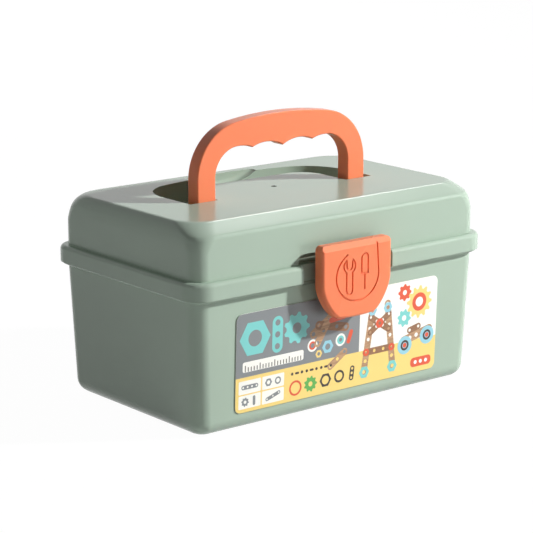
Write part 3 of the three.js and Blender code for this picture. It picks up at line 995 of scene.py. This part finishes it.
@dataclass(frozen=True)
class Chain:
    """A chain in which each third link is long, in millimetres from the label's centre."""

    first: Spot = Spot(-35.0, -12.6)
    step: float = 3.6
    links: int = 9
    period: int = 3
    long_length: float = 2.9
    long_width: float = 1.3
    round_radius: float = 0.9

    def prints(self) -> list[Print]:
        """Lists the links.

        Returns:
            The marks.
        """
        marks = []
        for number, place in enumerate(row(self.first, self.step, self.links)):
            link = Disc(place, self.round_radius)
            if number % self.period == 1:
                link = Bar(place, self.long_length, self.long_width)
            marks.append(Print(Tone.INK, 2, link))
        return marks


@dataclass(frozen=True)
class Wheel:
    """A cart's wheel: tyre, ring and hub, with their radii in millimetres."""

    spot: Spot
    tyre: float = 5.6
    ring: float = 3.2
    ring_bore: float = 1.9
    hub: float = 1.5

    def prints(self) -> list[Print]:
        """Lists the wheel's rounds.

        Returns:
            The marks.
        """
        return [
            Print(Tone.SKY, 4, Disc(self.spot, self.tyre)),
            Print(Tone.INK, 5, Disc(self.spot, self.ring, self.ring_bore)),
            Print(Tone.RED, 5, Disc(self.spot, self.hub)),
        ]


@dataclass
class Label:
    """The printed label on the front wall: a film with loose building parts on fields of colour."""

    node: str = "front_label"
    facing: float = 0.9
    film_edge: float = 0.1 * MM
    film_segments: int = 2
    film_overlap: float = 0.02 * MM
    ink_step: float = 0.02 * MM
    field_margin: float = 0.05
    field_corner: float = 3.8
    band_top: float = -8.2
    slate_end: float = 15.0
    width: float = field(init=False)
    height: float = field(init=False)
    place: Matrix = field(init=False)

    def __post_init__(self) -> None:
        """Reads the label's plane from the frame."""
        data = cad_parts[self.node].data
        front = [face for face in data.polygons if face.normal.y < -self.facing]
        normal = sum((face.normal * face.area for face in front), Vector()).normalized()
        across = Vector((1, 0, 0))
        up = normal.cross(across).normalized()
        points = [data.vertices[index].co for face in front for index in face.vertices]
        spans = [[point.dot(axis) for point in points] for axis in (across, up, normal)]
        self.width = max(spans[0]) - min(spans[0])
        self.height = max(spans[1]) - min(spans[1])
        centre = (
            across * (max(spans[0]) + min(spans[0])) / 2
            + up * (max(spans[1]) + min(spans[1])) / 2
            + normal * max(spans[2])
        )
        turn = Matrix((across, up, normal)).transposed().to_4x4()
        self.place = Matrix.Translation(centre) @ turn

    def fields(self) -> list[Print]:
        """Lists the three fields of colour that fill the film.

        Returns:
            The marks.
        """
        half_width = self.width / 2 / MM - self.field_margin
        half_height = self.height / 2 / MM - self.field_margin
        sheet = {
            "left": -half_width,
            "right": half_width,
            "low": -half_height,
            "high": half_height,
            "corner": self.field_corner,
        }
        band = self.band_top
        return [
            Print(Tone.SLATE, 1, Panel(**sheet, keep_left=self.slate_end, keep_above=band)),
            Print(Tone.PAPER, 1, Panel(**sheet, keep_right=self.slate_end, keep_above=band)),
            Print(Tone.STRAW, 1, Panel(**sheet, keep_below=band)),
        ]

    def big_parts(self) -> list[Print]:
        """Lists the large teal parts at the left and the ruler under them.

        Returns:
            The marks.
        """
        return [
            Print(Tone.TEAL, 2, Nut(Spot(-62.5, 13.6), 11.0, 4.8)),
            Print(Tone.TEAL, 2, Bar(Spot(-46.4, 13.0, 90), 21.5, 7.6, 3)),
            Print(Tone.TEAL, 2, Gear(Spot(-32.4, 14.4), 9.4, 9, 3.2)),
            *Ruler().prints(),
        ]

    def loose_parts(self) -> list[Print]:
        """Lists the heap of strips, pegs and washers in the middle.

        Returns:
            The marks.
        """
        return [
            Print(Tone.WOOD, 2, Bar(Spot(-9.5, 15.0, 32), 30.0, 5.4, 5)),
            Print(Tone.DARK_WOOD, 3, Bar(Spot(-6.0, 11.0, -12), 26.0, 5.2, 4)),
            Print(Tone.WOOD, 4, Bar(Spot(-12.5, 9.5, 58), 21.0, 5.0, 3)),
            Print(Tone.RED, 5, Bar(Spot(-2.0, 15.0, 5), 13.0, 3.2)),
            Print(Tone.PAPER, 2, Disc(Spot(-20.5, 1.8), 3.7, 1.4)),
            Print(Tone.RED, 3, Disc(Spot(-20.5, 1.8), 2.5, 1.4)),
            Print(Tone.SKY, 2, Nut(Spot(-9.0, -0.8), 4.2, 1.9)),
            Print(Tone.PAPER, 2, Disc(Spot(0.6, 1.6), 3.8, 1.2)),
            Print(Tone.TEAL, 3, Disc(Spot(0.6, 1.6), 2.6, 1.2)),
            Print(Tone.RED, 2, Bar(Spot(7.6, 2.4, 70), 8.6, 2.8)),
            Print(Tone.STRAW, 2, Nut(Spot(-15.6, -4.0), 2.5, 1.1)),
            Print(Tone.WOOD, 2, Bar(Spot(-1.4, -9.6, 34), 17.0, 4.4, 3)),
        ]

    def tower(self) -> list[Print]:
        """Lists the tower of strips between the latch and the wheels.

        Returns:
            The marks.
        """
        return [
            Print(Tone.WOOD, 2, Bar(Spot(22.0, -2.0, 82), 44.0, 4.8, 7)),
            Print(Tone.WOOD, 2, Bar(Spot(39.0, -2.0, 98), 44.0, 4.8, 7)),
            Print(Tone.DARK_WOOD, 3, Bar(Spot(30.5, -9.6), 25.0, 4.2, 4)),
            Print(Tone.DARK_WOOD, 3, Bar(Spot(30.5, 6.6, 33), 21.0, 4.0, 4)),
            Print(Tone.DARK_WOOD, 4, Bar(Spot(30.5, 6.6, -33), 21.0, 4.0, 4)),
            Print(Tone.TEAL, 4, Nut(Spot(19.6, -21.6), 3.9, 1.5)),
            Print(Tone.TEAL, 4, Nut(Spot(41.4, -21.6), 3.9, 1.5)),
            Print(Tone.RED, 5, Disc(Spot(30.5, 6.6), 2.9, 1.0)),
            Print(Tone.RED, 4, Disc(Spot(20.6, -9.6), 2.3, 0.8)),
            Print(Tone.RED, 4, Disc(Spot(40.4, -9.6), 2.3, 0.8)),
            Print(Tone.SKY, 5, Nut(Spot(24.6, 15.2), 3.4, 1.3)),
            Print(Tone.SKY, 5, Nut(Spot(36.6, 15.2), 3.4, 1.3)),
        ]

    def wheels(self) -> list[Print]:
        """Lists the meshing wheels, the cart and the small plate at the right.

        Returns:
            The marks.
        """
        return [
            Print(Tone.STRAW, 2, Gear(Spot(61.5, 14.6, 4), 10.0, 12, 3.0)),
            Print(Tone.RED, 3, Disc(Spot(61.5, 14.6), 5.6, 3.0)),
            Print(Tone.RED, 2, Gear(Spot(49.6, 22.0, 10), 5.2, 8, 1.6)),
            Print(Tone.TEAL, 2, Gear(Spot(49.8, 6.4), 5.4, 8, 1.7)),
            Print(Tone.WOOD, 2, Bar(Spot(60.0, -5.6, 12), 26.0, 5.6, 5)),
            Print(Tone.DARK_WOOD, 3, Bar(Spot(58.0, -1.2, 12), 11.0, 4.0, 2)),
            Print(Tone.RED, 2, Panel(56.2, 72.6, -25.6, -19.8, 2.4)),
            *Wheel(Spot(51.0, -10.6)).prints(),
            *Wheel(Spot(68.6, -7.0)).prints(),
            *(Print(Tone.PAPER, 3, Disc(place, 1.2)) for place in row(Spot(60.2, -22.7), 4.2, 3)),
        ]

    def small_parts(self) -> list[Print]:
        """Lists the small parts on the straw band, with the parts list and a chain.

        Returns:
            The marks.
        """
        return [
            *PartsList().prints(),
            Print(Tone.SLATE, 3, Bar(Spot(-65.6, -14.2), 12.0, 2.6, 4)),
            Print(Tone.SLATE, 3, Nut(Spot(-52.2, -14.2), 2.5, 1.2)),
            Print(Tone.SLATE, 3, Disc(Spot(-45.4, -14.2), 2.2, 1.3)),
            Print(Tone.SLATE, 3, Gear(Spot(-68.8, -22.8), 2.7, 8, 1.0)),
            Print(Tone.SLATE, 3, Bar(Spot(-62.4, -22.8, 90), 5.8, 1.8)),
            Print(Tone.SLATE, 3, Bar(Spot(-48.8, -22.8, 18), 11.0, 2.2, 3)),
            Print(Tone.RED, 2, Disc(Spot(-32.4, -21.4), 4.6, 3.4)),
            Print(Tone.GREEN, 2, Gear(Spot(-21.2, -21.0), 4.8, 9, 1.5)),
            Print(Tone.INK, 2, Nut(Spot(-10.0, -20.8), 4.4, 2.6)),
            Print(Tone.INK, 2, Disc(Spot(0.4, -20.4), 3.8, 2.5)),
            Print(Tone.INK, 2, Bar(Spot(10.0, -20.2, 84), 9.0, 3.4, 3)),
            *Chain().prints(),
        ]

    def prints(self) -> list[Print]:
        """Lists every mark of the label.

        Returns:
            The marks, field by field from the left.
        """
        return [
            *self.fields(),
            *self.big_parts(),
            *self.loose_parts(),
            *self.tower(),
            *self.wheels(),
            *self.small_parts(),
        ]

    def build(self) -> None:
        """Makes the film and everything printed on it, one piece for each ink."""
        film = PrintedInk("label_film", Tone.PAPER).material()
        sheet = Moulding("label_sheet", self.node, Body.BASE, self.film_edge, self.film_segments)
        sheet.build(film, Slot.LABEL)
        by_ink: dict[Tone, list[Print]] = {}
        for item in self.prints():
            by_ink.setdefault(item.tone, []).append(item)
        for tone, items in by_ink.items():
            pen = Pen(self.film_overlap)
            for item in items:
                item.mark.draw(pen)
                pen.fill(item.layer * self.ink_step)
            bmesh.ops.recalc_face_normals(pen.mesh, faces=pen.mesh.faces[:])
            bmesh.ops.transform(pen.mesh, matrix=self.place, verts=pen.mesh.verts[:])
            piece = to_object(f"label_ink_{tone.name.lower()}", pen.mesh)
            dress(piece, Body.BASE, self.ink(tone))

    @staticmethod
    def ink(tone: Tone) -> bpy.types.Material:
        """Gives the material of one ink, with a drawn grain where it shows wood.

        Args:
            tone: The ink's colour.

        Returns:
            The material.
        """
        name = f"ink_{tone.name.lower()}"
        if tone in (Tone.WOOD, Tone.DARK_WOOD):
            return PrintedWood(name, tone, Tone.BARK).material()
        return PrintedInk(name, tone).material()


@dataclass(frozen=True)
class Lamp:
    """A square lamp: its direction from the box, distance and side in metres, and power in watts.

    Lighting says whether it lights surfaces, and mirrored whether gloss shows it.
    """

    name: str
    direction: tuple[float, float, float]
    reach: float
    size: float
    power: float
    lighting: bool = True
    mirrored: bool = False


@dataclass
class Studio:
    """The pale floor, the lamps, the world and the camera of the picture."""

    floor_reach: float = 6.0
    camera_place: tuple[float, float, float] = (-0.7714, -0.9564, 0.3661)
    camera_right: tuple[float, float, float] = (0.7799, -0.6260, -0.0006)
    camera_up: tuple[float, float, float] = (0.1462, 0.1812, 0.9725)
    camera_back: tuple[float, float, float] = (-0.6086, -0.7585, 0.2329)
    lens: float = 143.2
    sensor: float = 36.0
    aim: tuple[float, float, float] = (0.0, 0.0, 0.08)
    lamps: tuple[Lamp, ...] = (
        Lamp("key_lamp", (0.675, -0.549, 0.494), 1.8, 0.1, 45),
        Lamp("low_lamp", (0.48, -0.87, 0.0), 2.4, 0.12, 7),
        Lamp("left_lamp", (-1.0, 0.0, 0.06), 2.0, 1.2, 4.9),
        Lamp("back_lamp", (0.3, 0.95, 0.0), 2.2, 1.2, 40),
        Lamp("key_sheen", (0.675, -0.549, 0.494), 1.8, 0.5, 5, lighting=False, mirrored=True),
        Lamp("back_sheen", (0.61, 0.38, 0.7), 1.8, 0.5, 10, lighting=False, mirrored=True),
    )
    sky_tone: tuple[float, float, float, float] = (0.94, 0.97, 0.95, 1.0)
    sky_strength: float = 0.05
    white: tuple[float, float, float, float] = (1.0, 1.0, 1.0, 1.0)
    floor_tone: tuple[float, float, float, float] = (0.6, 0.6, 0.6, 1.0)
    floor_roughness: float = 0.9
    floor_share: float = 0.94
    floor_glow: float = 1.04

    def build(self) -> None:
        """Sets up the whole studio."""
        self.add_floor()
        self.add_lamps()
        self.add_world()
        self.add_camera()
        bpy.context.scene.view_settings.view_transform = "Standard"

    def add_floor(self) -> None:
        """Lays a large pale floor that shows white to the camera and keeps the shadow."""
        mesh = bmesh.new()
        bmesh.ops.create_grid(mesh, x_segments=1, y_segments=1, size=self.floor_reach)
        floor = to_object("floor", mesh)
        tree = Surface("studio_floor")
        tree.shader.inputs["Base Color"].default_value = self.floor_tone
        tree.shader.inputs["Roughness"].default_value = self.floor_roughness
        glow = tree.add("ShaderNodeEmission")
        glow.inputs["Strength"].default_value = self.floor_glow
        share = tree.add("ShaderNodeMath", operation="MULTIPLY")
        share.inputs[1].default_value = self.floor_share
        mix = tree.add("ShaderNodeMixShader")
        tree.wire(tree.seen_directly(), share.inputs[0])
        tree.wire(share.outputs["Value"], mix.inputs["Fac"])
        tree.wire(tree.shader.outputs["BSDF"], mix.inputs[1])
        tree.wire(glow.outputs["Emission"], mix.inputs[2])
        tree.wire(mix.outputs["Shader"], tree.output.inputs["Surface"])
        floor.data.materials.append(tree.material)

    def add_lamp(self, lamp: Lamp) -> None:
        """Adds a square area lamp that looks at the box.

        Args:
            lamp: What it is and where it stands.
        """
        direction = Vector(lamp.direction).normalized()
        data = bpy.data.lights.new(lamp.name, "AREA")
        data.energy = lamp.power
        data.size = lamp.size
        item = bpy.data.objects.new(lamp.name, data)
        item.location = Vector(self.aim) + direction * lamp.reach
        item.rotation_euler = direction.to_track_quat("Z", "Y").to_euler()
        item.visible_diffuse = lamp.lighting
        item.visible_glossy = lamp.mirrored
        bpy.context.scene.collection.objects.link(item)

    def add_lamps(self) -> None:
        """Adds the lamps."""
        for lamp in self.lamps:
            self.add_lamp(lamp)

    def add_world(self) -> None:
        """Shows white to the camera and lights the box with a dim, even sky."""
        world = bpy.data.worlds.new("studio_world")
        world.use_nodes = True
        tree = NodeTree(world)
        sky = tree.nodes["Background"]
        sky.inputs["Color"].default_value = self.sky_tone
        sky.inputs["Strength"].default_value = self.sky_strength
        backdrop = tree.add("ShaderNodeBackground")
        backdrop.inputs["Color"].default_value = self.white
        mix = tree.add("ShaderNodeMixShader")
        tree.wire(tree.seen_directly(), mix.inputs["Fac"])
        tree.wire(sky.outputs["Background"], mix.inputs[1])
        tree.wire(backdrop.outputs["Background"], mix.inputs[2])
        tree.wire(mix.outputs["Shader"], tree.nodes["World Output"].inputs["Surface"])
        bpy.context.scene.world = world

    def add_camera(self) -> None:
        """Puts the camera where the photograph was taken from."""
        data = bpy.data.cameras.new("camera")
        data.sensor_width = self.sensor
        data.lens = self.lens
        camera = bpy.data.objects.new("camera", data)
        turn = Matrix((self.camera_right, self.camera_up, self.camera_back)).transposed()
        camera.matrix_world = Matrix.Translation(self.camera_place) @ turn.to_4x4()
        bpy.context.scene.collection.objects.link(camera)
        bpy.context.scene.camera = camera


def main() -> None:
    """Builds the box and the studio."""
    logging.basicConfig(level=logging.INFO)
    finishes = Finishes.build()
    Shells().build(finishes)
    Pins().build(finishes.steel)
    Label().build()
    Studio().build()


if __name__ == "__main__":
    main()
